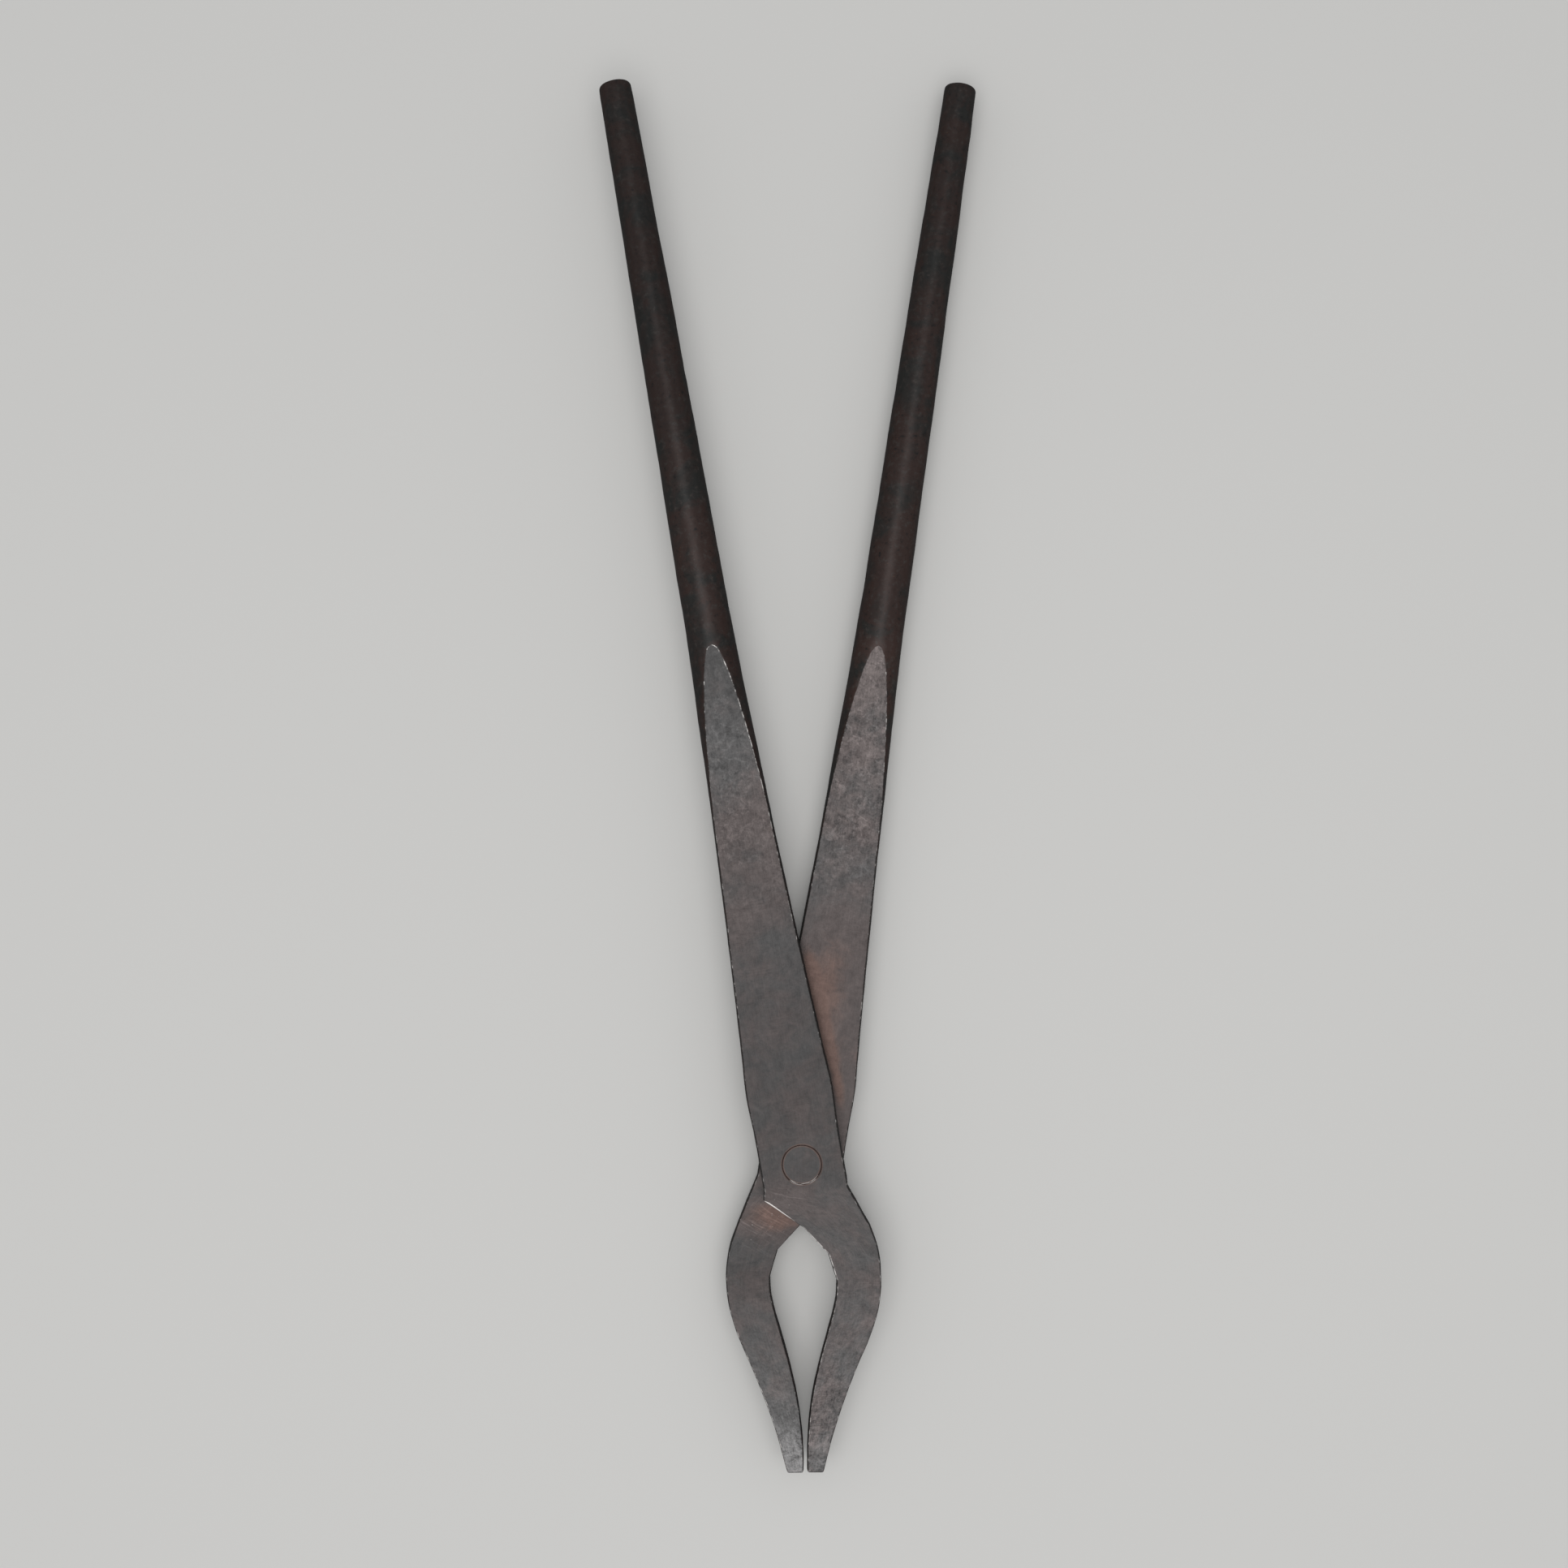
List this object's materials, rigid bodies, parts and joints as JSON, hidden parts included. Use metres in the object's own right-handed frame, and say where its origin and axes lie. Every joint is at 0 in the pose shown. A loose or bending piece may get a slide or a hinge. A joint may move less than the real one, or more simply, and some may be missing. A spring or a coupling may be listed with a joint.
{
  "type": "blacksmith tongs",
  "caption": "Open forged tongs: two crossed steel levers on a flush rivet, with round tapered reins, flat ground blades and bowed jaws that close at their tips.",
  "frame": {"origin": "on the rivet's axis, at the outer face of the back half's boss", "axes": "+Z along the rivet from the back half to the front half, +Y from the rivet towards the reins, jaws towards -Y; the front half's rein leans to -X"},
  "size_m": [0.1086, 0.4, 0.02],
  "materials": {
    "forged_steel_front": "ground flats, worn grey with brown stains; dark scale on the round reins and edges",
    "forged_steel_back": "ground flats, worn grey with brown stains; dark scale on the round reins and edges",
    "rivet_steel": "hammered and dressed flush"
  },
  "bodies": {
    "back_lever": {"back_half": "forged_steel_back", "pivot_rivet": "rivet_steel"},
    "front_lever": {"front_half": "forged_steel_front"}
  },
  "joints": [
    {"name": "pivot", "type": "hinge", "parent": "back_lever", "child": "front_lever", "pos_m": [0, 0, 0.0061], "axis": [0, 0, 1], "range_deg": [-0.5, 105]}
  ]
}
